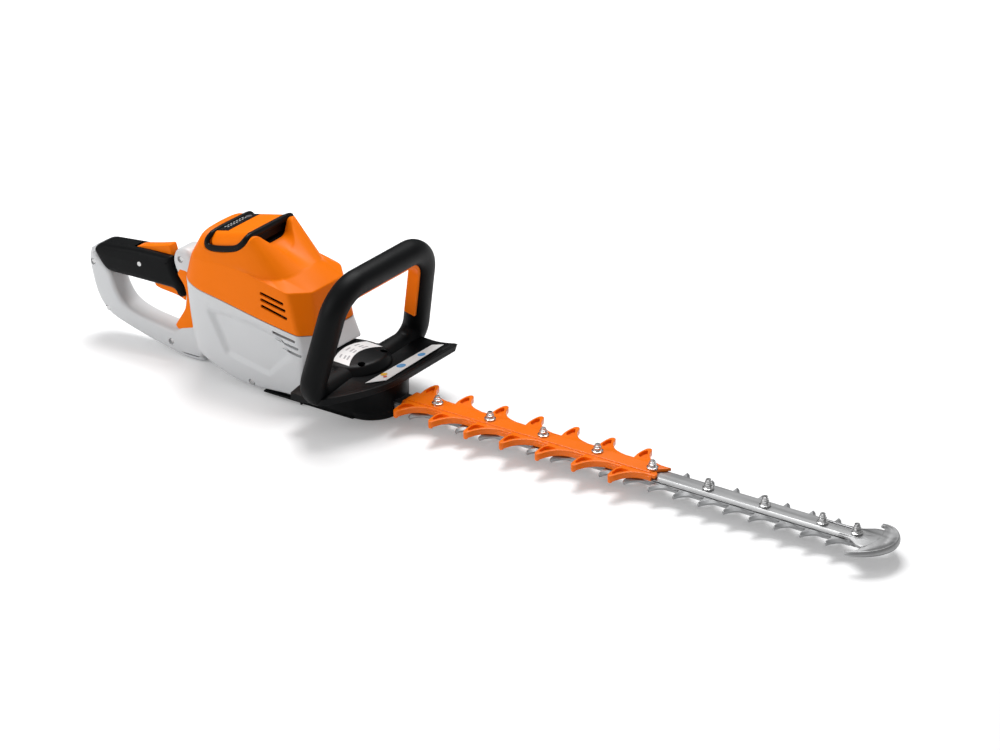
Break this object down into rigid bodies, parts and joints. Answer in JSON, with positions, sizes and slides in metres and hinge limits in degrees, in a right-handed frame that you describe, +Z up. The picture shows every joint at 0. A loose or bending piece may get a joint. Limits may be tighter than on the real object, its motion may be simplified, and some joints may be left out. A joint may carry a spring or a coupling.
{
  "type": "battery hedge trimmer",
  "caption": "Battery hedge trimmer with a double-sided reciprocating blade, clip-on tooth guard, loop front handle with hand shield and a closed rear trigger handle.",
  "frame": {"origin": "on the resting plane, straight below the crank shaft", "axes": "+X towards the blade tip, +Z up, -Y is the right-hand side seen from behind"},
  "size_m": [1.1204, 0.2322, 0.2023],
  "materials": {
    "blade_steel": "ground",
    "rail_aluminium": "satin",
    "guard_orange": "satin",
    "hood_orange": "satin",
    "body_white": "satin",
    "soft_black": "matte",
    "black_plastic": "matte",
    "fastener_steel": "plated",
    "gear_steel": "ground",
    "bearing_steel": "polished",
    "magnet_dark": "coated",
    "winding_copper": "enamelled",
    "board_green": "coated",
    "rim_grey": "matte",
    "button_grey": "matte",
    "label_white": "printed",
    "contact_dark": "moulded"
  },
  "bodies": {
    "machine": {"guide_rail": "rail_aluminium", "tip_shoe": "rail_aluminium", "tooth_guard": "guard_orange", "blade_bolts": "fastener_steel", "blade_washers": "fastener_steel", "blade_nuts": "fastener_steel", "blade_bushes": "gear_steel", "wire_clip": "magnet_dark", "gear_base": "black_plastic", "gear_plate": "rail_aluminium", "idler_pin": "gear_steel", "gearbox_bearings": "bearing_steel", "motor_windings": "winding_copper", "motor_can": "magnet_dark", "motor_cap": "rail_aluminium", "motor_bearings": "bearing_steel", "body_shell_right": "body_white", "body_shell_left": "body_white", "hood": "hood_orange", "battery_bay": "black_plastic", "contact_block": "contact_dark", "control_board": "board_green", "handle_shell_right": "body_white", "handle_shell_left": "body_white", "rear_bridge": "hood_orange", "grip_right": "soft_black", "grip_left": "soft_black", "trigger_pin": "fastener_steel", "lockout_pin": "fastener_steel", "main_switch": "black_plastic", "bar_switch": "black_plastic", "front_handle": "soft_black", "rating_label": "label_white", "shield_label": "label_white", "housing_screws": "fastener_steel", "handle_screws": "fastener_steel", "cover_screws": "fastener_steel"},
    "upper_blade": {"upper_blade": "blade_steel"},
    "lower_blade": {"lower_blade": "blade_steel"},
    "crank": {"crank_gear": "gear_steel"},
    "idler": {"idler_gear": "gear_steel"},
    "rotor": {"motor_pinion": "gear_steel", "motor_shaft": "bearing_steel", "motor_magnets": "magnet_dark", "cooling_fan": "black_plastic"},
    "battery": {"battery_case": "black_plastic", "battery_cap": "hood_orange", "battery_rim": "rim_grey", "charge_panel": "black_plastic"},
    "charge_button": {"charge_button": "button_grey"},
    "latch_right": {"latch_right": "black_plastic"},
    "latch_left": {"latch_left": "black_plastic"},
    "trigger": {"trigger": "hood_orange"},
    "lockout_lever": {"lockout_lever": "hood_orange"},
    "switch_bar": {"switch_bar": "hood_orange"}
  },
  "joints": [
    {"name": "upper_blade_slide", "type": "slide", "parent": "machine", "child": "upper_blade", "axis": [1, 0, 0], "range_m": [-0.00825, 0.00825]},
    {"name": "lower_blade_slide", "type": "slide", "parent": "machine", "child": "lower_blade", "axis": [1, 0, 0], "range_m": [-0.00825, 0.00825]},
    {"name": "crank_spin", "type": "hinge", "parent": "machine", "child": "crank", "pos_m": [0, 0, 0.03], "axis": [0, 0, 1], "continuous": true},
    {"name": "idler_spin", "type": "hinge", "parent": "machine", "child": "idler", "pos_m": [-0.038, 0, 0.03], "axis": [0, 0, 1], "continuous": true},
    {"name": "motor_spin", "type": "hinge", "parent": "machine", "child": "rotor", "pos_m": [-0.072, 0, 0.05], "axis": [0, 0, 1], "continuous": true},
    {"name": "battery_slide", "type": "slide", "parent": "machine", "child": "battery", "axis": [-0.2147, 0, 0.9767], "range_m": [0, 0.13]},
    {"name": "charge_button_press", "type": "slide", "parent": "battery", "child": "charge_button", "axis": [0.2147, 0, -0.9767], "range_m": [0, 0.001], "stiffness_N_per_m": 600},
    {"name": "latch_right_press", "type": "slide", "parent": "battery", "child": "latch_right", "axis": [0, 1, 0], "range_m": [0, 0.002], "stiffness_N_per_m": 800},
    {"name": "latch_left_press", "type": "slide", "parent": "battery", "child": "latch_left", "axis": [0, -1, 0], "range_m": [0, 0.002], "stiffness_N_per_m": 800},
    {"name": "trigger_pull", "type": "hinge", "parent": "machine", "child": "trigger", "pos_m": [-0.266, 0, 0.097], "axis": [0, 1, 0], "range_deg": [0, 7], "stiffness_Nm_per_rad": 1.2},
    {"name": "lockout_press", "type": "hinge", "parent": "machine", "child": "lockout_lever", "pos_m": [-0.326, 0, 0.1185], "axis": [0, 1, 0], "range_deg": [0, 6], "stiffness_Nm_per_rad": 1},
    {"name": "switch_bar_squeeze", "type": "slide", "parent": "machine", "child": "switch_bar", "axis": [0.2181, 0, 0.9759], "range_m": [0, 0.003], "stiffness_N_per_m": 1500}
  ],
  "couplings": [
    {"joint": "lower_blade_slide", "follows": "upper_blade_slide", "ratio": -1},
    {"joint": "motor_spin", "follows": "crank_spin", "ratio": 5.5714},
    {"joint": "idler_spin", "follows": "crank_spin", "ratio": -1.7143}
  ]
}
